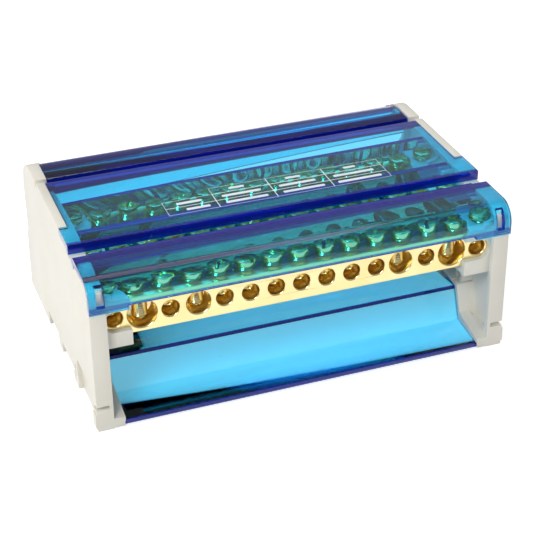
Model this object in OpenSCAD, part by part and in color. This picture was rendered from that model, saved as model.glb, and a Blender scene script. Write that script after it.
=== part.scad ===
/* [Busbars] */
// Distance between neighbouring terminal holes in the middle of a bar
hole_pitch = 8; // [7.6:0.1:9]
// Distance between terminal holes next to a medium or large one
wide_pitch = 8.5; // [8.4:0.1:9.5]
// Diameter of the small terminal holes
small_d = 5.3; // [4.5:0.1:5.8]
// Diameter of the medium terminal holes
mid_d = 7.5; // [6.5:0.1:8]
// Diameter of the large terminal holes
large_d = 9; // [8:0.1:9.4]
// Height of a bar
bar_h = 12; // [11.6:0.2:14]
// Thickness of a bar, front to back
bar_t = 8; // [7:0.2:9]
// Brass past the last hole centre at each end
bar_end = 5; // [4:0.1:5.4]
// Height of the terminal holes above the foot of a bar
hole_rise = 5.6; // [5.2:0.1:6]
// Chamfer at the mouth of a terminal hole
mouth = 0.3; // [0.1:0.05:0.4]
// Height of the foot of the three upper bars
bar_z = 28.8; // [28:0.2:31]
// How far the rear bar sits below the others
rear_drop = 11.6; // [10:0.2:12]
// Distance from row to row
row_pitch = 19.2; // [18.6:0.2:21]
// Place of the front row, front to back
row_y = -36.3; // [-37:0.1:-36]

/* [Clamp screws] */
// Shank diameter of the clamp screws
shank_d = 5; // [4:0.1:5.2]
// Head diameter of the clamp screws
head_d = 7.8; // [7:0.1:8]
// Height of a screw head
head_h = 3; // [2.4:0.1:3.4]
// Width of the driver slot
slot_w = 1.2; // [0.8:0.1:1.5]
// Depth of the driver slot
slot_h = 1.3; // [0.8:0.1:1.6]
// How far the small screws stand proud of their bar
small_lift = 1; // [0.2:0.1:1.6]
// Bite of a small screw into its terminal hole
small_bite = 2.2; // [1:0.1:3]
// Space left under a medium or large screw in its terminal hole
clamp_gap = 2; // [1:0.1:3]

/* [End plates] */
// Wall of the end plates
wall = 2.6; // [2.2:0.1:2.8]
// Depth of the rim around an end plate
rim = 5; // [4.4:0.1:5.6]
// Thickness of that rim
rim_t = 1.8; // [1.4:0.1:2.4]
// Half of the depth at the foot
half_d = 46; // [46:0.2:50]
// Set-back of the upper back face from the foot
back_in = 4; // [3:0.2:6]
// Radius of the top rear corner
back_r = 12.5; // [10:0.5:14]
// Height of the flared foot at the back
flare_h = 20.5; // [18:0.5:24]
// How far the bar sockets reach in from the rim
socket_l = 8; // [7:0.2:9]
// Wall of the bar sockets
socket_t = 1.8; // [1.6:0.1:2.2]
// Height of the foot blocks
foot_h = 7; // [5:0.5:8]
// Height of the relief in the outer wall behind the foot block
relief_h = 11.5; // [10:0.5:12]
// Depth of that relief
relief_t = 1.4; // [0.8:0.1:1.6]

/* [Rail] */
// Width of the mounting rail
rail_w = 35; // [34.6:0.1:35.4]
// Thickness of the rail's flange
rail_t = 1; // [0.9:0.1:1.2]
// Height at which the flange is hooked
rail_z = 3; // [2.6:0.1:3.4]
// How far a hook reaches under the flange
hook = 1.2; // [0.8:0.1:1.6]

/* [Blue profiles] */
// Wall of the covers and the back profile
skin = 2; // [1.6:0.1:2.2]
// Height of the top of the block
top_z = 51; // [50.6:0.2:53]
// Thickness of the tray
tray_t = 1.6; // [1.2:0.1:1.8]
// Height of the tray at its upper edge
tray_z = 13.4; // [12.6:0.2:14]
// Rise of the tray behind that edge
tray_rise = 1.6; // [1:0.1:1.8]
// Thickness of the barriers between the bars
barrier_t = 1.6; // [1.2:0.1:2]
// How far the barriers stand above the bars
barrier_up = 3.8; // [2:0.1:4.4]
// Lower edge of the back profile's rear wall
back_z = 27; // [26:0.5:30]
// Step from the upper cover down to the front cover
cover_step = 1; // [0.8:0.1:1.6]
// Outer radius of the front cover's nose
nose_r = 6; // [5:0.25:7]
// Height of the front cover's lower edge in the middle
lip_z = 41.8; // [41.2:0.1:42.4]
// How far the ends of that edge hang lower
tab_drop = 1.3; // [0.6:0.1:1.5]
// Radius of the hinge beads
bead_r = 2.1; // [1.8:0.05:2.3]
// Radius of the hinge pins
pin_r = 1.1; // [0.8:0.05:1.2]
// Depth of the front cover, from its face to its hinge
front_cover_d = 17.5; // [17:0.1:18]
// Width of the gap between the covers
cover_gap = 5.5; // [4:0.1:6]
// Depth of the upper cover, from its face to its hinge
upper_cover_d = 40.1; // [39:0.1:41]
// How far the back profile lies below the plates' edge
back_set = 0.4; // [0.2:0.1:0.8]
// Radius of the front cover's hinge pins
stub_r = 1.5; // [1.2:0.05:1.7]
// Width of the slots for the snap nibs
nib_slot = 2.4; // [2:0.1:3]

/* [Hidden] */

fit = 0.3;       // gap between a profile and what holds it
run = 0.06;      // radial gap of a pin in its bore
thread_gap = 0.05;
eps = 0.02;
far = 200;

// Terminal places, counted from the middle of a bar: 0 to 7
function step_x(k) = k <= 4 ? k * hole_pitch : 4 * hole_pitch + (k - 4) * wide_pitch;
function hole_x(i) = sign(i) * step_x(abs(i));
SMALL = [-7, -5, -3, -2, -1, 0, 1, 2, 3, 5, 7];
MEDIUM = [-4, 4];
LARGE = [-6, 6];
function bar_y(n) = row_y + n * row_pitch;
function foot_z(n) = n == 3 ? bar_z - rear_drop : bar_z;
function hole_z(n) = foot_z(n) + hole_rise;
function barrier_y(n) = bar_y(n) + row_pitch / 2;

bar_half = step_x(7) + bar_end;
inner_x = bar_half + 0.5;
outer_x = inner_x + wall;
rim_x = outer_x - rim;
socket_x = rim_x - socket_l;
front_y = -half_d + 1;
back_y = half_d - back_in;
cover_in = skin + fit;                      // from a cover's outside to the plate below it
front_top = top_z - cover_step;
nose_y = -half_d + nose_r;
nose_z = front_top - nose_r;
tab_z = lip_z - tab_drop;
tab_x = socket_x + 1.5;
hinge_y = -half_d + front_cover_d;
hinge_z = front_top - bead_r;
upper_y = hinge_y + cover_gap;
upper_x = inner_x - 0.2;
bead_y = upper_y + upper_cover_d;
bead_z = top_z - bead_r;
notch_y = upper_y + 11.5;                   // where the bare strip beside the upper cover starts
nib_x = (rim_x + outer_x) / 2 - 0.9;
floor_gap = 0.3;                            // the tray lies just clear of the ground
fold_y = bar_y(0) + row_pitch / 2 - 0.8;    // upper edge of the tray's front wall
crease_y = fold_y - 4;
crease_z = 3.1;
flat_y = barrier_y(1);
tray_x = rim_x - fit;
tray_back = back_y - skin;
profile_x = inner_x - 1.4;
barrier_x = inner_x - fit;
barrier_z0 = tray_z + tray_rise + 0.2;
barrier_z1 = bar_z + bar_h + barrier_up;
relief_y = -rail_w / 2 - 4;
rail_y = 1;

module yz(len) { rotate([90, 0, 90]) linear_extrude(height = len, center = true) children(); }
module both() { children(); mirror([1, 0, 0]) children(); }

// ---- end plates -------------------------------------------------------------
// Side outline of a plate, drawn d inside its edge. top is the height behind
// the step and rear is how far the back lies inside.
module outline(d, top, rear) {
    y1 = back_y - rear;
    step_y = top < top_z ? upper_y + cover_in : notch_y;
    polygon([[front_y + d, d], [half_d - max(d, rear), d], [back_y + 2 - max(d, rear), flare_h],
             [y1, flare_h + 2.5], [y1, top_z - back_r], [back_y - back_r, top - d],
             [step_y + d, top - d], [step_y + d, top_z - cover_in - d],
             [upper_y + cover_in + d, top_z - cover_in - d],
             [upper_y + cover_in + d, front_top - cover_in - d],
             [nose_y, front_top - cover_in - d], [nose_y, nose_z],
             [-half_d + cover_in + d, nose_z], [-half_d + cover_in + d, tab_z - fit - d],
             [front_y + d, tab_z - fit - d]]);
    translate([nose_y, nose_z]) circle(r = nose_r - cover_in - d, $fn = 48);
    intersection() {
        translate([back_y - back_r, top_z - back_r]) circle(r = back_r - rear, $fn = 64);
        translate([0, 0]) square([far, top - d]);
    }
}

// Seat of the mounting rail: a fixed hook behind, a sprung hook in front
module rail_seat() {
    half = rail_w / 2 + fit;
    translate([rail_y - half + hook, -1]) square([2 * (half - hook), rail_z + 1 + eps]);
    translate([rail_y - half, rail_z]) square([2 * half, rail_t + fit]);
    translate([rail_y - half - 2.4, rail_z]) square([1, 4.5]);
    polygon([[rail_y - half - 0.6, -1], [rail_y - half + hook + eps, -1], [rail_y - half + hook + eps, 2]]);
}

// Lug that dips into the hollow of the rail
module rail_lug() {
    polygon([[rail_y - 2, 1], [rail_y - 1.4, 0.3], [rail_y + 2.4, 0.3], [rail_y + 3, 1],
             [rail_y + 3, rail_z + 3], [rail_y - 2, rail_z + 3]]);
}

module wall_section() {
    difference() {
        outline(0, top_z, 0);
        // thumb groove between the upper cover's edge and the rear bulge
        translate([bead_y + bead_r - 0.8, top_z - 1.6]) square([2.1, 4]);
        rail_seat();
    }
    rail_lug();
}

module rim_section() {
    difference() {
        outline(0, top_z - cover_in, 0);
        difference() {
            outline(rim_t, top_z - cover_in, rim_t + back_set + skin + fit);
            translate([rail_y - rail_w / 2 - 4.2, -1]) square([rail_w + 6.4, rail_z + rail_t + fit + rim_t + 1]);
        }
        rail_seat();
    }
    rail_lug();
}

module bar_socket(n) {
    y = bar_y(n);
    half = bar_t / 2 + socket_t;
    z0 = foot_z(n) - socket_t - 1;
    z1 = foot_z(n) + bar_h + 1.2;
    window = small_d / 2 + 0.8;
    difference() {
        union() {
            translate([socket_x, y - half, z0]) cube([inner_x - socket_x + eps, 2 * half, z1 - z0]);
            // collar that guards the last screw head
            translate([hole_x(7), y, z1 - eps]) cylinder(d = head_d + 3.4, h = 1.4, $fn = 40);
        }
        // windows that leave the last terminal free, front and back
        translate([hole_x(7), y, hole_z(n)]) rotate([90, 0, 0])
            cylinder(r = window, h = 2 * half + 2, center = true, $fn = 40);
        translate([socket_x - 1, y - half - 1, hole_z(n) - window])
            cube([hole_x(7) - socket_x + 1, 2 * half + 2, 2 * window]);
        // room for the head next to it, and the open inner side of the collar
        translate([hole_x(6), y, foot_z(n)]) cylinder(d = head_d + 0.8, h = far, $fn = 40);
        translate([hole_x(7) - far, y - far / 2, z1]) cube([far, far, far]);
    }
}

// Seat of a bar and clearance of its last clamp screw
module bar_seat(n) {
    y = bar_y(n);
    z = foot_z(n);
    translate([socket_x - 1, y - bar_t / 2 - 0.05, z - 0.05])
        cube([bar_half + 0.2 - socket_x + 1, bar_t + 0.1, bar_h + 0.1]);
    translate([hole_x(7), y, z]) cylinder(d = shank_d + 0.6, h = bar_h + 3, $fn = 32);
    translate([hole_x(7), y, z + bar_h + 1.2]) cylinder(d = head_d + 0.8, h = head_h + 0.6, $fn = 40);
}

// Two ribs that hold the end of a barrier
module barrier_guide(n) {
    y = barrier_y(n);
    for (s = [-1, 1]) translate([rim_x - 1.6, y + s * (barrier_t / 2 + 0.75) - 0.6, barrier_z0])
        cube([inner_x - rim_x + 1.6 + eps, 1.2, barrier_z1 - barrier_z0 - 2]);
}

// Section of the tray, grown by g for the slot and the web that hold it
module tray_section(g) {
    t = tray_t + g;
    polygon([[front_y + 0.4 - g, floor_gap + t], [crease_y - g * 0.6, crease_z + g],
             [fold_y - g, tray_z + g * 0.8], [fold_y, tray_z + g], [flat_y, tray_z + tray_rise + g],
             [tray_back + g, tray_z + tray_rise + g], [tray_back + g, tray_z + tray_rise - t],
             [flat_y, tray_z + tray_rise - t], [fold_y + t * 0.8, tray_z - t],
             [crease_y + t * 0.8, crease_z - t * 0.9], [front_y + 0.4 - g, floor_gap - g]]);
}

// Web and ramp that carry the end of the tray
module tray_web() {
    intersection() {
        yz(2 * inner_x + 2 * eps) tray_section(1.5);
        translate([rim_x - 3.2, -far / 2, floor_gap]) cube(far);
        translate([0, front_y, 0]) cube(far);
    }
    translate([rim_x - 3.4, 0, 0]) rotate([90, 0, 90]) linear_extrude(height = 3.6)
        polygon([[front_y, floor_gap + tray_t], [crease_y, crease_z], [crease_y, crease_z + 3], [front_y, 3.4]]);
}

// Nose that sits in the slot of the front cover
module snap_nib() {
    y = -half_d + skin + 0.15;
    translate([nib_x - nib_slot / 2 + 0.35, 0, 0]) rotate([90, 0, 90]) linear_extrude(height = nib_slot - 0.7)
        polygon([[y, lip_z + 0.8], [y + 2, lip_z - 1], [y + 2, lip_z + 5], [y - 0.5, lip_z + 4.6]]);
}

module end_plate() {
    difference() {
        union() {
            translate([(inner_x + outer_x) / 2, 0, 0]) yz(wall) wall_section();
            translate([(rim_x + inner_x) / 2, 0, 0]) yz(rim - wall + eps) rim_section();
            // raised shoulder outside the back profile
            translate([(profile_x + fit + inner_x) / 2, 0, 0]) yz(inner_x - profile_x - fit + eps)
                difference() {
                    intersection() {
                        wall_section();
                        translate([bead_y + bead_r + 1.3, flare_h]) square(far);
                    }
                    outline(3, top_z, 3);
                }
            // foot block at the front, a little proud of the wall
            translate([rim_x, front_y, 0]) cube([rim, 3.8, foot_h]);
            translate([outer_x - 1, front_y, 1.2]) cube([1.5, 3.4, foot_h - 2.4]);
            for (n = [0:3]) bar_socket(n);
            for (n = [0:2]) barrier_guide(n);
            tray_web();
            // block that the pin of the front cover turns in
            translate([rim_x + 0.6, hinge_y - 3, hinge_z - 4]) cube([outer_x - rim_x - 1.2, 6, 4 - fit]);
            snap_nib();
        }
        for (n = [0:3]) bar_seat(n);
        // room for the upper cover's bead
        translate([0, bead_y - bead_r - fit, bead_z - bead_r - fit])
            cube([inner_x, 2 * (bead_r + fit), far]);
        yz(2 * (tray_x + 0.15)) tray_section(0.1);
        yz(2 * (profile_x + fit)) back_section(fit);
        for (n = [0:2]) translate([0, barrier_y(n) - barrier_t / 2 - 0.15, barrier_z0 - 1])
            cube([barrier_x + 0.15, barrier_t + 0.3, barrier_z1 - barrier_z0 + 1.2]);
        // seat of the front cover's pin, and room for its bead
        translate([0, hinge_y, hinge_z]) rotate([0, 90, 0]) cylinder(r = stub_r + run, h = far, $fn = 32);
        translate([0, hinge_y - bead_r - fit, hinge_z - bead_r - fit]) cube([rim_x + 0.5, 2 * (bead_r + fit), far]);
        // relief in the lower front of the outer wall, and the slit over the foot
        translate([outer_x - relief_t, 0, 0]) rotate([90, 0, 90]) linear_extrude(height = 5)
            polygon([[front_y + 3.8, -1], [relief_y, -1], [relief_y, relief_h - 1.5],
                     [relief_y - 1.5, relief_h], [front_y + 3.8, relief_h]]);
        translate([rim_x + 1, front_y - 1, foot_h]) cube([rim, 5, 1.6]);
    }
}

// An end plate with the pin of the upper cover's hinge
module plate_with_pin() {
    end_plate();
    translate([inner_x - 2.6, bead_y, bead_z]) rotate([0, 90, 0]) cylinder(r = pin_r, h = 3.2, $fn = 32);
}

module left_plate() { color("ivory") mirror([1, 0, 0]) plate_with_pin(); }
module right_plate() { color("ivory") plate_with_pin(); }

// ---- blue profiles ----------------------------------------------------------
module tray() { color("deepskyblue") yz(2 * tray_x) tray_section(0); }

module barrier(n) {
    color("deepskyblue") translate([-barrier_x, barrier_y(n) - barrier_t / 2, barrier_z0])
        cube([2 * barrier_x, barrier_t, barrier_z1 - barrier_z0]);
}
module front_barrier() { barrier(0); }
module middle_barrier() { barrier(1); }
module rear_barrier() { barrier(2); }

// Section of the back profile, grown by g for the seat that takes it
module back_section(g) {
    centre = [back_y - back_r, top_z - back_r];
    r = back_r - back_set;
    front = bead_y + bead_r + 1.6;
    translate(centre) {
        intersection() {
            difference() {
                circle(r = r + g, $fn = 96);
                circle(r = r - skin - g, $fn = 96);
            }
            square(far);
        }
        translate([front - g - centre[0], r - skin - g]) square([centre[0] - front + g + eps, skin + 2 * g]);
        translate([r - skin - g, back_z - g - centre[1]]) square([skin + 2 * g, centre[1] - back_z + g + eps]);
        // stiffening rib under the top
        translate([-3.4 - g, r - skin - 2.2 - g]) square([1.4 + 2 * g, 2.4 + g]);
    }
}
module back_profile() { color("royalblue") yz(2 * profile_x) back_section(0); }

module front_cover_section() {
    difference() {
        union() {
            translate([nose_y, front_top - skin]) square([hinge_y - nose_y, skin]);
            translate([-half_d, tab_z]) square([skin, nose_z - tab_z]);
            translate([nose_y, nose_z]) intersection() {
                circle(r = nose_r, $fn = 96);
                translate([-nose_r, 0]) square(nose_r);
            }
        }
        translate([nose_y, nose_z]) circle(r = nose_r - skin, $fn = 96);
    }
}

module front_cover() {
    color("dodgerblue") difference() {
        union() {
            yz(2 * outer_x) front_cover_section();
            // hinge bead and its pins
            translate([0, hinge_y, hinge_z]) rotate([0, 90, 0])
                cylinder(r = bead_r, h = 2 * (rim_x + 0.2), center = true, $fn = 48);
            translate([0, hinge_y, hinge_z]) rotate([0, 90, 0])
                cylinder(r = stub_r, h = 2 * outer_x, center = true, $fn = 32);
        }
        // the middle of the lower edge is cut back
        translate([-tab_x, -half_d - 1, tab_z - 1]) cube([2 * tab_x, skin + 2, lip_z - tab_z + 1]);
        both() translate([nib_x - nib_slot / 2, -half_d - 1, lip_z + 0.4]) cube([nib_slot, skin + 2, 6.2]);
    }
}

module upper_cover() {
    color("dodgerblue") difference() {
        union() {
            translate([-outer_x, upper_y, top_z - skin]) cube([2 * outer_x, notch_y - fit - upper_y, skin]);
            translate([-upper_x, upper_y, top_z - skin]) cube([2 * upper_x, bead_y - upper_y, skin]);
            translate([-outer_x, upper_y, front_top - skin]) cube([2 * outer_x, skin, top_z - front_top + skin]);
            translate([0, bead_y, bead_z]) rotate([0, 90, 0])
                cylinder(r = bead_r, h = 2 * upper_x, center = true, $fn = 48);
        }
        both() translate([inner_x - 2.6 - fit, bead_y, bead_z]) rotate([0, 90, 0])
            cylinder(r = pin_r + run, h = 5, $fn = 32);
    }
}

// ---- busbars and screws -----------------------------------------------------
module busbar(n) {
    difference() {
        translate([-bar_half, bar_y(n) - bar_t / 2, foot_z(n)]) cube([2 * bar_half, bar_t, bar_h]);
        for (i = SMALL) terminal(i, n, small_d);
        for (i = MEDIUM) terminal(i, n, mid_d);
        for (i = LARGE) terminal(i, n, large_d);
    }
}

module terminal(i, n, d) {
    translate([hole_x(i), bar_y(n), hole_z(n)]) {
        rotate([90, 0, 0]) cylinder(d = d, h = bar_t + 2, center = true, $fn = 28);
        for (s = [-1, 1]) translate([0, s * (bar_t / 2 - mouth), 0]) rotate([-90 * s, 0, 0])
            cylinder(r1 = d / 2, r2 = d / 2 + mouth + 0.01, h = mouth + 0.01, $fn = 28);
        cylinder(d = shank_d, h = bar_h, $fn = 20);
    }
}

module screw(i, n, tip, lift) {
    base = foot_z(n) + bar_h + lift;
    translate([hole_x(i), bar_y(n), base]) difference() {
        union() {
            translate([0, 0, tip - base]) cylinder(d = shank_d - 2 * thread_gap, h = base - tip + 0.5, $fn = 20);
            cylinder(d = head_d, h = head_h - 0.4, $fn = 28);
            translate([0, 0, head_h - 0.4]) cylinder(d1 = head_d, d2 = head_d - 1, h = 0.4, $fn = 28);
        }
        rotate(20 + 47 * i) {
            translate([-far / 2, -slot_w / 2, head_h - slot_h]) cube([far, slot_w, far]);
            translate([-slot_w / 2, -head_d * 0.3, head_h - slot_h]) cube([slot_w, head_d * 0.6, far]);
        }
    }
}

module small_screws(n) {
    tip = hole_z(n) + small_d / 2 - small_bite;
    for (i = SMALL) screw(i, n, tip, abs(i) == 7 ? small_lift + 0.4 : small_lift);
}
module medium_screws(n) { for (i = MEDIUM) screw(i, n, hole_z(n) - mid_d / 2 + clamp_gap, 0.1); }
module large_screws(n) { for (i = LARGE) screw(i, n, hole_z(n) - large_d / 2 + clamp_gap, 0.1); }

module front_bar() { color("gold") busbar(0); }
module second_bar() { color("gold") busbar(1); }
module third_bar() { color("gold") busbar(2); }
module rear_bar() { color("gold") busbar(3); }
module front_small_screws() { color("goldenrod") small_screws(0); }
module front_medium_screws() { color("goldenrod") medium_screws(0); }
module front_large_screws() { color("goldenrod") large_screws(0); }
module second_small_screws() { color("goldenrod") small_screws(1); }
module second_medium_screws() { color("goldenrod") medium_screws(1); }
module second_large_screws() { color("goldenrod") large_screws(1); }
module third_small_screws() { color("goldenrod") small_screws(2); }
module third_medium_screws() { color("goldenrod") medium_screws(2); }
module third_large_screws() { color("goldenrod") large_screws(2); }
module rear_small_screws() { color("goldenrod") small_screws(3); }
module rear_medium_screws() { color("goldenrod") medium_screws(3); }
module rear_large_screws() { color("goldenrod") large_screws(3); }

left_plate();
right_plate();
tray();
front_barrier();
middle_barrier();
rear_barrier();
back_profile();
front_cover();
upper_cover();
front_bar();
second_bar();
third_bar();
rear_bar();
front_small_screws();
front_medium_screws();
front_large_screws();
second_small_screws();
second_medium_screws();
second_large_screws();
third_small_screws();
third_medium_screws();
third_large_screws();
rear_small_screws();
rear_medium_screws();
rear_large_screws();
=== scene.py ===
import math
import bpy
from mathutils import Matrix, Vector


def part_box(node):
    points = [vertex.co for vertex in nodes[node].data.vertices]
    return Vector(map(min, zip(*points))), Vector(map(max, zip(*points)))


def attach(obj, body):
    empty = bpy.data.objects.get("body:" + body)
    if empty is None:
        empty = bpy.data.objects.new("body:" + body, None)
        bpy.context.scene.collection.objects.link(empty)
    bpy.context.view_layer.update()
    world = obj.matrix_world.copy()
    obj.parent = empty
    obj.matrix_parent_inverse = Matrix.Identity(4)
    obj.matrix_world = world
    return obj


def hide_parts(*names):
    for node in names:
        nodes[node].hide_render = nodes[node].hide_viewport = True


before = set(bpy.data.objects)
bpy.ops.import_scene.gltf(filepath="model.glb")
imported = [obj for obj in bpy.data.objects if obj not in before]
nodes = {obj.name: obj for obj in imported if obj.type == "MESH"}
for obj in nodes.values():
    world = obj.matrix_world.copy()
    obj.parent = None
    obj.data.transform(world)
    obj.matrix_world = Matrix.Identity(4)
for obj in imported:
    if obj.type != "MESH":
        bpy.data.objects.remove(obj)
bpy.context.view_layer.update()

mm = 0.001


# Small helpers

def clearSelection():
    if bpy.context.object and bpy.context.object.mode != "OBJECT":
        bpy.ops.object.mode_set(mode="OBJECT")
    bpy.ops.object.select_all(action="DESELECT")


def newMaterial(name):
    mat = bpy.data.materials.new(name)
    mat.use_nodes = True
    mat.node_tree.nodes.clear()
    return mat, mat.node_tree


def addNode(tree, kind, place, **settings):
    node = tree.nodes.new(kind)
    node.location = place
    for key, value in settings.items():
        setattr(node, key, value)
    return node


def joinNodes(tree, *pairs):
    for start, end in pairs:
        tree.links.new(start, end)


def objectCoords(tree, place, stretch=(1, 1, 1)):
    coords = addNode(tree, "ShaderNodeTexCoord", place)
    mapping = addNode(tree, "ShaderNodeMapping", (place[0] + 180, place[1]))
    mapping.inputs["Scale"].default_value = stretch
    joinNodes(tree, (coords.outputs["Object"], mapping.inputs["Vector"]))
    return mapping.outputs["Vector"]


def dress(names, mat):
    for name in names:
        mesh = nodes[name].data
        mesh.materials.clear()
        mesh.materials.append(mat)


# Effects shared by several materials

def makeGroup(name, inputs, outputs):
    group = bpy.data.node_groups.new(name, "ShaderNodeTree")
    for label, kind, value in inputs:
        socket = group.interface.new_socket(label, in_out="INPUT", socket_type=kind)
        if value is not None:
            socket.default_value = value
    for label, kind in outputs:
        group.interface.new_socket(label, in_out="OUTPUT", socket_type=kind)
    start = addNode(group, "NodeGroupInput", (-700, 0))
    end = addNode(group, "NodeGroupOutput", (500, 0))
    return group, start, end


def makeGrainGroup():
    group, start, end = makeGroup(
        "grainAndPatches",
        [("Vector", "NodeSocketVector", None), ("Grain Scale", "NodeSocketFloat", 1500.0),
         ("Patch Scale", "NodeSocketFloat", 60.0)],
        [("Grain", "NodeSocketFloat"), ("Patches", "NodeSocketFloat")])
    fine = addNode(group, "ShaderNodeTexNoise", (-400, 150))
    fine.inputs["Detail"].default_value = 3
    broad = addNode(group, "ShaderNodeTexNoise", (-400, -150))
    broad.inputs["Detail"].default_value = 5
    joinNodes(group,
              (start.outputs["Vector"], fine.inputs["Vector"]),
              (start.outputs["Grain Scale"], fine.inputs["Scale"]),
              (start.outputs["Vector"], broad.inputs["Vector"]),
              (start.outputs["Patch Scale"], broad.inputs["Scale"]),
              (fine.outputs["Fac"], end.inputs["Grain"]),
              (broad.outputs["Fac"], end.inputs["Patches"]))
    return group


def makeDustGroup():
    group, start, end = makeGroup(
        "dustSpecks",
        [("Vector", "NodeSocketVector", None), ("Scale", "NodeSocketFloat", 400.0),
         ("Size", "NodeSocketFloat", 0.1)],
        [("Mask", "NodeSocketFloat")])
    cells = addNode(group, "ShaderNodeTexVoronoi", (-400, 0))
    small = addNode(group, "ShaderNodeMath", (-150, 80), operation="LESS_THAN")
    some = addNode(group, "ShaderNodeSeparateColor", (-150, -120))
    few = addNode(group, "ShaderNodeMath", (50, -120), operation="LESS_THAN")
    few.inputs[1].default_value = 0.12
    both = addNode(group, "ShaderNodeMath", (250, 0), operation="MULTIPLY")
    joinNodes(group,
              (start.outputs["Vector"], cells.inputs["Vector"]),
              (start.outputs["Scale"], cells.inputs["Scale"]),
              (cells.outputs["Distance"], small.inputs[0]),
              (start.outputs["Size"], small.inputs[1]),
              (cells.outputs["Color"], some.inputs["Color"]),
              (some.outputs["Red"], few.inputs[0]),
              (small.outputs["Value"], both.inputs[0]),
              (few.outputs["Value"], both.inputs[1]),
              (both.outputs["Value"], end.inputs["Mask"]))
    return group


def makeNearLineGroup():
    group, start, end = makeGroup(
        "nearLine",
        [("Vector", "NodeSocketVector", None), ("Y", "NodeSocketFloat", 0.0),
         ("Z", "NodeSocketFloat", 0.0), ("Reach", "NodeSocketFloat", 0.002)],
        [("Mask", "NodeSocketFloat")])
    parts = addNode(group, "ShaderNodeSeparateXYZ", (-500, 100))
    across = addNode(group, "ShaderNodeMath", (-300, 200), operation="SUBTRACT")
    upward = addNode(group, "ShaderNodeMath", (-300, 0), operation="SUBTRACT")
    pair = addNode(group, "ShaderNodeCombineXYZ", (-120, 100))
    away = addNode(group, "ShaderNodeVectorMath", (50, 100), operation="LENGTH")
    share = addNode(group, "ShaderNodeMath", (200, 100), operation="DIVIDE")
    fade = addNode(group, "ShaderNodeMapRange", (350, 100))
    fade.inputs["From Min"].default_value = 0.85
    fade.inputs["From Max"].default_value = 1.05
    fade.inputs["To Min"].default_value = 1.0
    fade.inputs["To Max"].default_value = 0.0
    joinNodes(group,
              (start.outputs["Vector"], parts.inputs["Vector"]),
              (parts.outputs["Y"], across.inputs[0]),
              (start.outputs["Y"], across.inputs[1]),
              (parts.outputs["Z"], upward.inputs[0]),
              (start.outputs["Z"], upward.inputs[1]),
              (across.outputs["Value"], pair.inputs["X"]),
              (upward.outputs["Value"], pair.inputs["Y"]),
              (pair.outputs["Vector"], away.inputs["Vector"]),
              (away.outputs["Value"], share.inputs[0]),
              (start.outputs["Reach"], share.inputs[1]),
              (share.outputs["Value"], fade.inputs["Value"]),
              (fade.outputs["Result"], end.inputs["Mask"]))
    return group


grainGroup = makeGrainGroup()
dustGroup = makeDustGroup()
nearLineGroup = makeNearLineGroup()


def useGroup(tree, group, place, vector, **values):
    node = addNode(tree, "ShaderNodeGroup", place, node_tree=group)
    joinNodes(tree, (vector, node.inputs["Vector"]))
    for key, value in values.items():
        node.inputs[key.replace("_", " ")].default_value = value
    return node


def rampNode(tree, place, low, high, start=0.0, end=1.0):
    ramp = addNode(tree, "ShaderNodeValToRGB", place)
    ramp.color_ramp.elements[0].position = start
    ramp.color_ramp.elements[0].color = low
    ramp.color_ramp.elements[1].position = end
    ramp.color_ramp.elements[1].color = high
    return ramp


def rangeNode(tree, place, source, low, high):
    node = addNode(tree, "ShaderNodeMapRange", place)
    node.inputs["To Min"].default_value = low
    node.inputs["To Max"].default_value = high
    joinNodes(tree, (source, node.inputs["Value"]))
    return node.outputs["Result"]


def bumpNode(tree, place, height, strength, distance):
    bump = addNode(tree, "ShaderNodeBump", place)
    bump.inputs["Strength"].default_value = strength
    bump.inputs["Distance"].default_value = distance
    joinNodes(tree, (height, bump.inputs["Height"]))
    return bump.outputs["Normal"]


# Materials

ivory = {"pale": (0.80, 0.775, 0.70, 1), "deep": (0.73, 0.70, 0.615, 1), "rough": (0.36, 0.5)}
# In the blue plastic, the deep colour and the opaque blue layer with its share and roughness are
# painted shade for beads, edges and folds
bluePlastic = {"absorb": (0.10, 0.845, 0.97, 1), "density": 900.0, "ior": 1.5,
               "trayIor": 1.62, "rough": (0.0, 0.012), "shade": (0.94, 0.985, 1.0, 1),
               "deep": (0.015, 0.07, 0.62, 1), "paintedShadeBlue": (0.006, 0.018, 0.34, 1),
               "paintedShadeShare": 0.6, "paintedShadeRough": 0.12, "shadow": (0.93, 0.97, 1.0, 1),
               "endFacing": 0.8, "lines": 0.03}
# Y, Z and reach of each line near which painted shade deepens the plastic's blue: beads, rounded
# edges, lips, barrier tops and the tray's fold
paintedShadeLines = {"frontCover": [(-28.5, 47.9, 2.5), (-45, 41.6, 1.1)],
             "upperCover": [(17.1, 48.9, 2.6), (-22.2, 49.5, 1.7)],
             "back": [(36.5, 46.5, 6.0), (21.2, 49.2, 1.4)],
             "barrier": [(-26.7, 44.6, 0.9), (-7.5, 44.6, 0.9), (11.7, 44.6, 0.9)],
             "tray": [(-45, 1, 1.5), (-27.6, 13.3, 0.7)]}
brass = {"pale": (0.93, 0.78, 0.42, 1), "deep": (0.86, 0.67, 0.30, 1), "rough": (0.18, 0.30)}
screwMetal = {"pale": (0.92, 0.80, 0.46, 1), "deep": (0.80, 0.62, 0.27, 1), "rough": (0.12, 0.26)}
ink = {"pale": (0.86, 0.90, 0.93, 1), "deep": (0.72, 0.80, 0.86, 1), "rough": (0.45, 0.6)}


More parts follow.
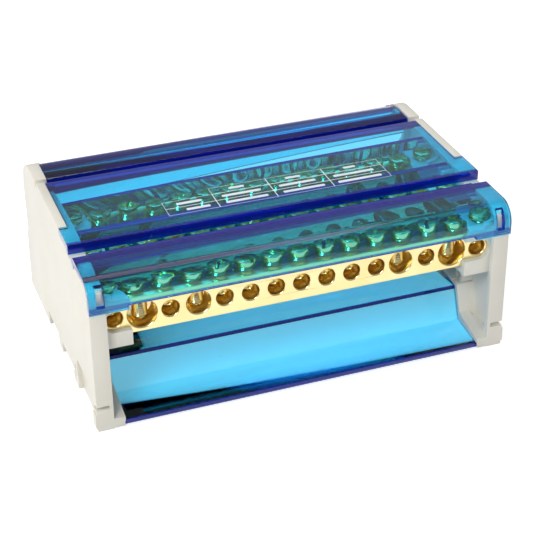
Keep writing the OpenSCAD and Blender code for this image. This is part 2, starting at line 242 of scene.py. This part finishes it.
def makeIvory():
    mat, tree = newMaterial("ivoryPlastic")
    vector = objectCoords(tree, (-1300, 0))
    effect = useGroup(tree, grainGroup, (-850, 0), vector, Grain_Scale=2600.0, Patch_Scale=45.0)
    colour = rampNode(tree, (-550, 250), ivory["deep"], ivory["pale"], 0.25, 0.75)
    rough = rangeNode(tree, (-550, -50), effect.outputs["Patches"], *ivory["rough"])
    normal = bumpNode(tree, (-300, -250), effect.outputs["Grain"], 0.12, 0.05 * mm)
    shader = addNode(tree, "ShaderNodeBsdfPrincipled", (0, 0))
    shader.inputs["Subsurface Weight"].default_value = 0.12
    shader.inputs["Subsurface Radius"].default_value = (1.0, 0.8, 0.5)
    shader.inputs["Subsurface Scale"].default_value = 0.8 * mm
    shader.inputs["IOR"].default_value = 1.5
    out = addNode(tree, "ShaderNodeOutputMaterial", (300, 0))
    joinNodes(tree,
              (effect.outputs["Patches"], colour.inputs["Fac"]),
              (colour.outputs["Color"], shader.inputs["Base Color"]),
              (rough, shader.inputs["Roughness"]),
              (normal, shader.inputs["Normal"]),
              (shader.outputs["BSDF"], out.inputs["Surface"]))
    return mat


def makeBlue(name, lines, ior=bluePlastic["ior"]):
    mat, tree = newMaterial(name)
    vector = objectCoords(tree, (-1500, 0))
    drawn = objectCoords(tree, (-1500, -350), (0.02, 1, 1))
    effect = useGroup(tree, grainGroup, (-850, 0), vector, Grain_Scale=900.0, Patch_Scale=35.0)
    streaks = useGroup(tree, grainGroup, (-850, -350), drawn, Grain_Scale=1400.0, Patch_Scale=300.0)
    specks = useGroup(tree, dustGroup, (-850, -600), vector, Scale=220.0, Size=0.05)
    rough = rangeNode(tree, (-550, 100), effect.outputs["Patches"], *bluePlastic["rough"])
    dusty = addNode(tree, "ShaderNodeMath", (-350, 100), operation="MAXIMUM")
    normal = bumpNode(tree, (-300, -300), streaks.outputs["Patches"],
                      bluePlastic["lines"], 0.02 * mm)
    # painted shade: cut edges and thick beads get a deeper, partly opaque blue, standing in for the
    # darker look of thick and edge-on clear plastic
    shape = addNode(tree, "ShaderNodeNewGeometry", (-1100, 900))
    sides = addNode(tree, "ShaderNodeSeparateXYZ", (-900, 900))
    width = addNode(tree, "ShaderNodeMath", (-700, 900), operation="ABSOLUTE")
    ends = addNode(tree, "ShaderNodeMath", (-500, 900), operation="GREATER_THAN")
    ends.inputs[1].default_value = bluePlastic["endFacing"]
    joinNodes(tree,
              (shape.outputs["True Normal"], sides.inputs["Vector"]),
              (sides.outputs["X"], width.inputs[0]),
              (width.outputs["Value"], ends.inputs[0]))
    mask = ends.outputs["Value"]
    for step, (y, z, reach) in enumerate(lines):
        near = useGroup(tree, nearLineGroup, (-500, 700 - 150 * step), vector,
                        Y=y * mm, Z=z * mm, Reach=reach * mm)
        more = addNode(tree, "ShaderNodeMath", (-300, 700 - 150 * step), operation="MAXIMUM")
        joinNodes(tree, (mask, more.inputs[0]), (near.outputs["Mask"], more.inputs[1]))
        mask = more.outputs["Value"]
    # painted shade: the base colour turns deep blue where the mask marks edges, beads and folds
    tint = rampNode(tree, (-250, 450), bluePlastic["shade"], bluePlastic["deep"])
    shader = addNode(tree, "ShaderNodeBsdfPrincipled", (0, 100))
    shader.inputs["Transmission Weight"].default_value = 1.0
    shader.inputs["IOR"].default_value = ior
    clear = addNode(tree, "ShaderNodeBsdfTransparent", (0, 300))
    clear.inputs["Color"].default_value = bluePlastic["shadow"]
    # painted shade: an opaque deep blue mixed in where the mask marks edges, beads and folds
    paintedShadeLayer = addNode(tree, "ShaderNodeBsdfPrincipled", (0, -300))
    paintedShadeLayer.inputs["Base Color"].default_value = bluePlastic["paintedShadeBlue"]
    paintedShadeLayer.inputs["Roughness"].default_value = bluePlastic["paintedShadeRough"]
    share = addNode(tree, "ShaderNodeMath", (0, 480), operation="MULTIPLY")
    share.inputs[1].default_value = bluePlastic["paintedShadeShare"]
    body = addNode(tree, "ShaderNodeMixShader", (200, 0))
    path = addNode(tree, "ShaderNodeLightPath", (0, 650))
    mix = addNode(tree, "ShaderNodeMixShader", (350, 200))
    volume = addNode(tree, "ShaderNodeVolumeAbsorption", (300, -100))
    volume.inputs["Color"].default_value = bluePlastic["absorb"]
    volume.inputs["Density"].default_value = bluePlastic["density"]
    out = addNode(tree, "ShaderNodeOutputMaterial", (550, 0))
    joinNodes(tree,
              (mask, tint.inputs["Fac"]),
              (tint.outputs["Color"], shader.inputs["Base Color"]),
              (rough, dusty.inputs[0]),
              (specks.outputs["Mask"], dusty.inputs[1]),
              (dusty.outputs["Value"], shader.inputs["Roughness"]),
              (normal, shader.inputs["Normal"]),
              (path.outputs["Is Shadow Ray"], mix.inputs["Fac"]),
              (mask, share.inputs[0]),
              (normal, paintedShadeLayer.inputs["Normal"]),
              (share.outputs["Value"], body.inputs["Fac"]),
              (shader.outputs["BSDF"], body.inputs[1]),
              (paintedShadeLayer.outputs["BSDF"], body.inputs[2]),
              (body.outputs["Shader"], mix.inputs[1]),
              (clear.outputs["BSDF"], mix.inputs[2]),
              (mix.outputs["Shader"], out.inputs["Surface"]),
              (volume.outputs["Volume"], out.inputs["Volume"]))
    return mat


def makeInk():
    mat, tree = newMaterial("whiteInk")
    vector = objectCoords(tree, (-1100, 0))
    effect = useGroup(tree, grainGroup, (-650, 0), vector, Grain_Scale=3000.0, Patch_Scale=200.0)
    colour = rampNode(tree, (-350, 200), ink["deep"], ink["pale"], 0.3, 0.6)
    rough = rangeNode(tree, (-350, -50), effect.outputs["Grain"], *ink["rough"])
    shader = addNode(tree, "ShaderNodeBsdfPrincipled", (0, 0))
    out = addNode(tree, "ShaderNodeOutputMaterial", (300, 0))
    joinNodes(tree,
              (effect.outputs["Patches"], colour.inputs["Fac"]),
              (colour.outputs["Color"], shader.inputs["Base Color"]),
              (rough, shader.inputs["Roughness"]),
              (shader.outputs["BSDF"], out.inputs["Surface"]))
    return mat


def makeMetal(name, metal, stretch, grain, strength):
    mat, tree = newMaterial(name)
    vector = objectCoords(tree, (-1300, 0))
    drawn = objectCoords(tree, (-1300, -350), stretch)
    effect = useGroup(tree, grainGroup, (-850, 0), vector, Grain_Scale=1200.0, Patch_Scale=90.0)
    lines = useGroup(tree, grainGroup, (-850, -350), drawn, Grain_Scale=grain, Patch_Scale=400.0)
    colour = rampNode(tree, (-550, 250), metal["deep"], metal["pale"], 0.2, 0.7)
    rough = rangeNode(tree, (-550, -50), lines.outputs["Grain"], *metal["rough"])
    normal = bumpNode(tree, (-300, -300), lines.outputs["Grain"], strength, 0.02 * mm)
    shader = addNode(tree, "ShaderNodeBsdfPrincipled", (0, 0))
    shader.inputs["Metallic"].default_value = 1.0
    out = addNode(tree, "ShaderNodeOutputMaterial", (300, 0))
    joinNodes(tree,
              (effect.outputs["Patches"], colour.inputs["Fac"]),
              (colour.outputs["Color"], shader.inputs["Base Color"]),
              (rough, shader.inputs["Roughness"]),
              (normal, shader.inputs["Normal"]),
              (shader.outputs["BSDF"], out.inputs["Surface"]))
    return mat


ivoryMat = makeIvory()
frontCoverMat = makeBlue("blueFrontCover", paintedShadeLines["frontCover"])
upperCoverMat = makeBlue("blueUpperCover", paintedShadeLines["upperCover"])
backMat = makeBlue("blueBack", paintedShadeLines["back"])
barrierMat = makeBlue("blueBarrier", paintedShadeLines["barrier"])
trayMat = makeBlue("blueTray", paintedShadeLines["tray"], bluePlastic["trayIor"])
barMat = makeMetal("drawnBrass", brass, (0.03, 1, 1), 2500.0, 0.15)
screwMat = makeMetal("turnedBrass", screwMetal, (1, 1, 0.4), 1500.0, 0.1)
inkMat = makeInk()
print("materials made")

dress(["left_plate", "right_plate"], ivoryMat)
dress(["front_cover"], frontCoverMat)
dress(["upper_cover"], upperCoverMat)
dress(["back_profile"], backMat)
dress(["front_barrier", "middle_barrier", "rear_barrier"], barrierMat)
dress(["tray"], trayMat)
rows = ["front", "second", "third", "rear"]
sizes = ["small", "medium", "large"]
dress([row + "_bar" for row in rows], barMat)
dress([f"{row}_{size}_screws" for row in rows for size in sizes], screwMat)


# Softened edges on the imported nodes

softening = {"left_plate": 0.18, "right_plate": 0.18, "front_cover": 0.12, "upper_cover": 0.12,
             "back_profile": 0.1, "tray": 0.1, "front_barrier": 0.1, "middle_barrier": 0.1,
             "rear_barrier": 0.1, "front_bar": 0.12, "second_bar": 0.12, "third_bar": 0.12,
             "rear_bar": 0.12}
smoothAngle = math.radians(32)
bevelAngle = math.radians(35)


def soften(name, width):
    part = nodes[name]
    for face in part.data.polygons:
        face.use_smooth = True
    weld = part.modifiers.new("weld", "WELD")
    weld.merge_threshold = 0.002 * mm
    if width:
        bevel = part.modifiers.new("bevel", "BEVEL")
        bevel.width = width * mm
        bevel.segments = 2
        bevel.limit_method = "ANGLE"
        bevel.angle_limit = bevelAngle
        bevel.use_clamp_overlap = True
    split = part.modifiers.new("split", "EDGE_SPLIT")
    split.split_angle = smoothAngle


for name, part in nodes.items():
    soften(name, softening.get(name, 0))
print("nodes dressed")


# Clamp screws with thread and a slot crossed by a short one

clampScrew = {"headRadius": 3.1, "headHeight": 2.5, "crest": 2.44, "root": 2.14, "pitch": 0.8,
              "slot": 1.15, "slotDeep": 1.15, "slotShare": 4.0, "crossShare": 1.24, "rim": 0.35,
              "foot": 0.25, "tip": 0.86, "sink": 0.4, "firstTurn": 20, "turnStep": 47, "endPlace": 7}
holePlaces = {"small": [-7, -5, -3, -2, -1, 0, 1, 2, 3, 5, 7], "medium": [-4, 4], "large": [-6, 6]}
holePlan = {"even": 8.0, "wide": 8.5, "evenCount": 4}


def holeX(place):
    steps = abs(place)
    even = min(steps, holePlan["evenCount"])
    return math.copysign(even * holePlan["even"] + (steps - even) * holePlan["wide"], place)


def finishPiece(obj, name, mat, body):
    obj.name = name
    obj.data.name = name
    obj.data.materials.clear()
    obj.data.materials.append(mat)
    clearSelection()
    obj.select_set(True)
    bpy.context.view_layer.objects.active = obj
    bpy.ops.object.transform_apply(location=True, rotation=True, scale=True)
    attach(obj, body)


def applyModifier(obj, kind, **settings):
    clearSelection()
    obj.select_set(True)
    bpy.context.view_layer.objects.active = obj
    tool = obj.modifiers.new(kind.lower(), kind)
    for key, value in settings.items():
        setattr(tool, key, value)
    bpy.ops.object.modifier_apply(modifier=tool.name)


def joinPieces(pieces):
    clearSelection()
    for piece in pieces:
        piece.select_set(True)
    bpy.context.view_layer.objects.active = pieces[0]
    bpy.ops.object.join()
    return bpy.context.object


def pickVerts(obj, test):
    mesh = obj.data
    bpy.ops.object.mode_set(mode="EDIT")
    bpy.ops.mesh.select_mode(type="VERT")
    bpy.ops.mesh.select_all(action="DESELECT")
    bpy.ops.object.mode_set(mode="OBJECT")
    for vert in mesh.vertices:
        vert.select = test(vert.co)
    bpy.ops.object.mode_set(mode="EDIT")


def makeHead():
    plan = clampScrew
    clearSelection()
    bpy.ops.mesh.primitive_cylinder_add(vertices=32, radius=plan["headRadius"] * mm,
                                        depth=plan["headHeight"] * mm,
                                        location=(0, 0, -plan["headHeight"] / 2 * mm))
    head = bpy.context.object
    bpy.ops.object.transform_apply(location=True, rotation=True, scale=True)
    pickVerts(head, lambda co: co.z > -0.01 * mm)
    bpy.ops.mesh.bevel(offset=plan["rim"] * mm, segments=3, affect="EDGES")
    bpy.ops.object.mode_set(mode="OBJECT")
    pickVerts(head, lambda co: co.z < -(plan["headHeight"] - 0.01) * mm)
    bpy.ops.mesh.bevel(offset=plan["foot"] * mm, segments=2, affect="EDGES")
    bpy.ops.object.mode_set(mode="OBJECT")
    for length, turn in ((plan["slotShare"], 0), (plan["crossShare"], 90)):
        clearSelection()
        bpy.ops.mesh.primitive_cube_add(size=1, location=(0, 0, 0))
        cutter = bpy.context.object
        cutter.scale = (plan["headRadius"] * length * mm, plan["slot"] * mm,
                        plan["slotDeep"] * 2 * mm)
        cutter.rotation_euler = (0, 0, math.radians(turn))
        bpy.ops.object.transform_apply(location=True, rotation=True, scale=True)
        applyModifier(head, "BOOLEAN", operation="DIFFERENCE", object=cutter, solver="EXACT")
        bpy.data.objects.remove(cutter)
    return head


def makeShank(length):
    plan = clampScrew
    turns = max(2, round(length / plan["pitch"]))
    half = length / (2 * turns)
    clearSelection()
    bpy.ops.mesh.primitive_cylinder_add(vertices=20, radius=plan["crest"] * mm, depth=half * mm,
                                        location=(0, 0, -half / 2 * mm))
    shank = bpy.context.object
    bpy.ops.object.transform_apply(location=True, rotation=True, scale=True)
    pickVerts(shank, lambda co: co.z < -half * 0.5 * mm)
    bpy.ops.mesh.select_mode(type="FACE")
    share = plan["root"] / plan["crest"]
    bpy.ops.transform.resize(value=(share, share, 1), center_override=(0, 0, 0))
    for step in range(1, 2 * turns):
        bpy.ops.mesh.extrude_region_move(TRANSFORM_OT_translate={"value": (0, 0, -half * mm)})
        ratio = 1 / share if step % 2 else share
        bpy.ops.transform.resize(value=(ratio, ratio, 1), center_override=(0, 0, 0))
    bpy.ops.transform.resize(value=(plan["tip"], plan["tip"], 1), center_override=(0, 0, 0))
    bpy.ops.object.mode_set(mode="OBJECT")
    return shank


def makeScrews(row, size, head):
    plan = clampScrew
    node = f"{row}_{size}_screws"
    low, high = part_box(node)
    y = (low.y + high.y) / 2
    # the end screws of a bar stand a little higher than the others
    tall = high.z
    length = (tall - low.z) / mm - plan["headHeight"]
    pieces = []
    shank = makeShank(length)
    shank.data.transform(Matrix.Translation((0, 0, -plan["headHeight"] * mm)))
    for place in holePlaces[size]:
        lowered = size == "small" and abs(place) != plan["endPlace"]
        top = tall - plan["sink"] * mm if lowered else tall
        turn = Matrix.Rotation(math.radians(plan["firstTurn"] + plan["turnStep"] * place), 4, "Z")
        spot = Matrix.Translation((holeX(place) * mm, y, top))
        for source in (head, shank):
            mesh = source.data.copy()
            mesh.transform(spot @ turn)
            piece = bpy.data.objects.new("screwPart", mesh)
            bpy.context.scene.collection.objects.link(piece)
            pieces.append(piece)
    bpy.data.objects.remove(shank)
    group = joinPieces(pieces)
    bpy.ops.object.shade_smooth_by_angle(angle=smoothAngle)
    finishPiece(group, f"{row}{size.title()}Screws", screwMat, "block")
    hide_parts(node)


screwHead = makeHead()
for row in rows:
    for size in sizes:
        makeScrews(row, size, screwHead)
bpy.data.objects.remove(screwHead)
print("screws made")


# Closed ends of the terminal holes in the front bar

holeEnd = {"deep": 6.6, "radii": {"small": 2.64, "medium": 3.74, "large": 4.49}, "rise": 5.6,
           "gap": 0.01, "sides": 28, "insetShare": 0.3, "steps": (0.5, 0.3),
           "smooth": math.radians(40)}


def makeHoleEnds(row):
    low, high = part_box(row + "_bar")
    ends = []
    thick = (high.y - low.y) / mm - holeEnd["deep"]
    for size, places in holePlaces.items():
        radius = holeEnd["radii"][size]
        for place in places:
            clearSelection()
            bpy.ops.mesh.primitive_cylinder_add(
                vertices=holeEnd["sides"], radius=radius * mm,
                depth=(thick - 2 * holeEnd["gap"]) * mm, rotation=(math.radians(90), 0, 0),
                location=(holeX(place) * mm, high.y - (thick / 2 + holeEnd["gap"]) * mm,
                          low.z + holeEnd["rise"] * mm))
            end = bpy.context.object
            bpy.ops.object.transform_apply(location=True, rotation=True, scale=True)
            front = min(vert.co.y for vert in end.data.vertices)
            pickVerts(end, lambda co: co.y < front + holeEnd["gap"] * mm)
            bpy.ops.mesh.select_mode(type="FACE")
            for step in holeEnd["steps"]:
                bpy.ops.mesh.inset(thickness=radius * holeEnd["insetShare"] * mm)
                bpy.ops.transform.translate(value=(0, step * mm, 0))
            bpy.ops.object.mode_set(mode="OBJECT")
            ends.append(end)
    group = joinPieces(ends)
    bpy.ops.object.shade_smooth_by_angle(angle=holeEnd["smooth"])
    finishPiece(group, row + "HoleEnds", barMat, "block")


makeHoleEnds("front")
print("hole ends made")


# Barriers that end at the feet of the bars

barrierPlan = {"foot": 28.0, "edge": 0.15}


def makeBarrier(node, name):
    low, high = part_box(node)
    foot = barrierPlan["foot"] * mm
    clearSelection()
    middle = ((low.x + high.x) / 2, (low.y + high.y) / 2, (foot + high.z) / 2)
    bpy.ops.mesh.primitive_cube_add(size=1, location=middle)
    plate = bpy.context.object
    plate.scale = (high.x - low.x, high.y - low.y, high.z - foot)
    bpy.ops.object.transform_apply(location=True, rotation=True, scale=True)
    applyModifier(plate, "BEVEL", width=barrierPlan["edge"] * mm, segments=2, limit_method="ANGLE")
    bpy.ops.object.shade_smooth_by_angle(angle=smoothAngle)
    finishPiece(plate, name, barrierMat, "block")
    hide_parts(node)


for node, name in (("front_barrier", "frontBarrier"), ("middle_barrier", "middleBarrier"),
                   ("rear_barrier", "rearBarrier")):
    makeBarrier(node, name)
print("barriers made")


# Wiring tray that falls a little behind its fold

trayPlan = {"path": [(-44.6, 1.9), (-31.5, 3.1), (-27.5, 13.4), (-7.5, 10.4), (40.0, 10.4)],
            "thick": 1.6, "edge": 0.2}


def makeTray():
    low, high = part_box("tray")
    points = [(y * mm, z * mm) for y, z in trayPlan["path"]]
    clearSelection()
    bpy.ops.mesh.primitive_plane_add(size=1, location=((low.x + high.x) / 2, 0, 0))
    tray = bpy.context.object
    tray.scale = (high.x - low.x, mm, 1)
    bpy.ops.object.transform_apply(location=True, rotation=True, scale=True)
    pickVerts(tray, lambda co: co.y < 0)
    bpy.ops.transform.translate(value=(0, points[0][0] + 0.5 * mm, points[0][1]))
    bpy.ops.object.mode_set(mode="OBJECT")
    front = points[0][0] + 0.1 * mm
    pickVerts(tray, lambda co: co.y > front)
    bpy.ops.transform.translate(value=(0, points[1][0] - 0.5 * mm, points[1][1]))
    bpy.ops.mesh.select_mode(type="EDGE")
    for (y0, z0), (y1, z1) in zip(points[1:-1], points[2:]):
        bpy.ops.mesh.extrude_region_move(TRANSFORM_OT_translate={"value": (0, y1 - y0, z1 - z0)})
    bpy.ops.mesh.select_all(action="SELECT")
    bpy.ops.mesh.normals_make_consistent(inside=False)
    bpy.ops.object.mode_set(mode="OBJECT")
    if tray.data.polygons[0].normal.z < 0:
        bpy.ops.object.mode_set(mode="EDIT")
        bpy.ops.mesh.flip_normals()
        bpy.ops.object.mode_set(mode="OBJECT")
    applyModifier(tray, "SOLIDIFY", thickness=trayPlan["thick"] * mm, offset=-1.0,
                  use_even_offset=True)
    applyModifier(tray, "BEVEL", width=trayPlan["edge"] * mm, segments=2, limit_method="ANGLE")
    bpy.ops.object.shade_smooth_by_angle(angle=smoothAngle)
    finishPiece(tray, "wiringTray", trayMat, "block")
    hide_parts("tray")


makeTray()
print("tray made")


# Ruled table printed on the upper cover, with plain bars in its cells

printPlan = {"line": 0.13, "thick": 0.02, "lift": 0.005, "corner": 0.35,
             "rules": [(-17, 1.5, -8, -4), (1.5, 20, -8, -4), (20, 39, -8, -4),
                       (-33, -17, -12.3, -8), (-17, 1.5, -12.3, -8), (1.5, 20, -12.3, -8),
                       (20, 39, -12.3, -8), (-33, -17, -16.5, -12.3), (-17, 1.5, -16.5, -12.3),
                       (1.5, 20, -16.5, -12.3), (20, 39, -16.5, -12.3)],
             "bars": [(-11, -6, -6.6, -5.4), (7.5, 12.5, -6.6, -5.4), (27, 31, -6.6, -5.4),
                      (-14.5, -2, -10.8, -9.5), (4, 16, -10.8, -9.5), (22, 35.5, -10.8, -9.5),
                      (-14.5, -1, -15, -13.7), (4, 17.5, -15, -13.7), (22, 36.5, -15, -13.7),
                      (-29, -21, -10.8, -9.5), (-27, -19.5, -15, -13.7)]}


def makePrint():
    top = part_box("upper_cover")[1].z
    marks = []
    for kind, fields in (("rules", printPlan["rules"]), ("bars", printPlan["bars"])):
        for x0, x1, y0, y1 in fields:
            clearSelection()
            middle = ((x0 + x1) / 2 * mm, (y0 + y1) / 2 * mm, top + printPlan["lift"] * mm)
            bpy.ops.mesh.primitive_plane_add(size=1, location=middle)
            mark = bpy.context.object
            mark.scale = ((x1 - x0) * mm, (y1 - y0) * mm, 1)
            bpy.ops.object.transform_apply(location=True, rotation=True, scale=True)
            bpy.ops.object.mode_set(mode="EDIT")
            bpy.ops.mesh.select_all(action="SELECT")
            if kind == "rules":
                bpy.ops.mesh.select_mode(type="FACE")
                bpy.ops.mesh.inset(thickness=printPlan["line"] * mm)
                bpy.ops.mesh.delete(type="FACE")
            else:
                bpy.ops.mesh.bevel(offset=printPlan["corner"] * mm, segments=3, affect="VERTICES")
            bpy.ops.object.mode_set(mode="OBJECT")
            marks.append(mark)
    table = joinPieces(marks)
    applyModifier(table, "SOLIDIFY", thickness=printPlan["thick"] * mm, offset=1.0)
    finishPiece(table, "ruledTable", inkMat, "upper_lid")


makePrint()
print("print made")


# Stage, lights and camera

stage = {"floorSize": 3.0, "floorTone": (0.88, 0.88, 0.88, 1), "lift": 0.5, "world": 0.55,
         "seenWorld": 1.0}


def makeStage():
    clearSelection()
    bpy.ops.mesh.primitive_plane_add(size=stage["floorSize"], location=(0, 0, 0))
    floor = bpy.context.object
    floor.name = "paleFloor"
    mat, tree = newMaterial("paleFloor")
    body = addNode(tree, "ShaderNodeBsdfDiffuse", (0, 0))
    body.inputs["Color"].default_value = stage["floorTone"]
    glow = addNode(tree, "ShaderNodeEmission", (0, -200))
    path = addNode(tree, "ShaderNodeLightPath", (-600, 200))
    first = addNode(tree, "ShaderNodeMath", (-350, 100), operation="MAXIMUM")
    seen = addNode(tree, "ShaderNodeMath", (-180, 0), operation="MAXIMUM")
    level = addNode(tree, "ShaderNodeMath", (-180, -250), operation="MULTIPLY")
    level.inputs[1].default_value = stage["lift"]
    total = addNode(tree, "ShaderNodeAddShader", (250, 0))
    out = addNode(tree, "ShaderNodeOutputMaterial", (450, 0))
    joinNodes(tree,
              (path.outputs["Is Camera Ray"], first.inputs[0]),
              (path.outputs["Is Glossy Ray"], first.inputs[1]),
              (first.outputs["Value"], seen.inputs[0]),
              (path.outputs["Is Transmission Ray"], seen.inputs[1]),
              (seen.outputs["Value"], level.inputs[0]),
              (level.outputs["Value"], glow.inputs["Strength"]),
              (body.outputs["BSDF"], total.inputs[0]),
              (glow.outputs["Emission"], total.inputs[1]),
              (total.outputs["Shader"], out.inputs["Surface"]))
    floor.data.materials.append(mat)

    world = bpy.data.worlds.new("paleRoom")
    bpy.context.scene.world = world
    world.use_nodes = True
    tree = world.node_tree
    tree.nodes.clear()
    path = addNode(tree, "ShaderNodeLightPath", (-400, 200))
    level = addNode(tree, "ShaderNodeMapRange", (-150, 100))
    level.inputs["To Min"].default_value = stage["world"]
    level.inputs["To Max"].default_value = stage["seenWorld"]
    back = addNode(tree, "ShaderNodeBackground", (100, 0))
    out = addNode(tree, "ShaderNodeOutputWorld", (300, 0))
    joinNodes(tree,
              (path.outputs["Is Camera Ray"], level.inputs["Value"]),
              (level.outputs["Result"], back.inputs["Strength"]),
              (back.outputs["Background"], out.inputs["Surface"]))


def addSoftbox(name, place, target, size, power):
    light = bpy.data.lights.new(name, "AREA")
    light.shape = "RECTANGLE"
    light.size, light.size_y = size
    light.energy = power
    obj = bpy.data.objects.new(name, light)
    obj.location = place
    obj.rotation_mode = "QUATERNION"
    obj.rotation_quaternion = (Vector(target) - Vector(place)).to_track_quat("-Z", "Y")
    bpy.context.scene.collection.objects.link(obj)


# place, target, size and power of each softbox
softboxes = {"keyBox": ((-0.5, -0.57, 0.65), (0, 0, 0.03), (0.28, 0.28), 3.7),
             "leftBox": ((-0.9, 0.05, 0.4), (0, 0, 0.03), (0.6, 0.5), 1.9),
             "topBox": ((0.15, 0.4, 1.0), (0, 0, 0.02), (0.8, 0.6), 2.8)}


def makeLights():
    for name, plan in softboxes.items():
        addSoftbox(name, *plan)


cameraPlan = {"place": (-136.57, -393.15, 264.31), "target": (3.51, -0.53, 16.43),
              "roll": -0.715, "lens": 100.48, "sensor": 36, "clip": (0.01, 20)}


def makeCamera():
    data = bpy.data.cameras.new("camera")
    data.lens = cameraPlan["lens"]
    data.sensor_width = cameraPlan["sensor"]
    data.clip_start, data.clip_end = cameraPlan["clip"]
    camera = bpy.data.objects.new("camera", data)
    bpy.context.scene.collection.objects.link(camera)
    place = Vector(cameraPlan["place"]) * mm
    target = Vector(cameraPlan["target"]) * mm
    turn = (target - place).to_track_quat("-Z", "Y")
    camera.rotation_mode = "QUATERNION"
    roll = Matrix.Rotation(math.radians(cameraPlan["roll"]), 3, "Z").to_quaternion()
    camera.rotation_quaternion = turn @ roll
    camera.location = place
    bpy.context.scene.camera = camera


makeStage()
makeLights()
makeCamera()
bpy.context.scene.view_settings.view_transform = "Standard"
rayLimits = {"max_bounces": 20, "transmission_bounces": 20, "transparent_max_bounces": 24,
             "glossy_bounces": 8}
for name, limit in rayLimits.items():
    setattr(bpy.context.scene.cycles, name, limit)
print("stage set")
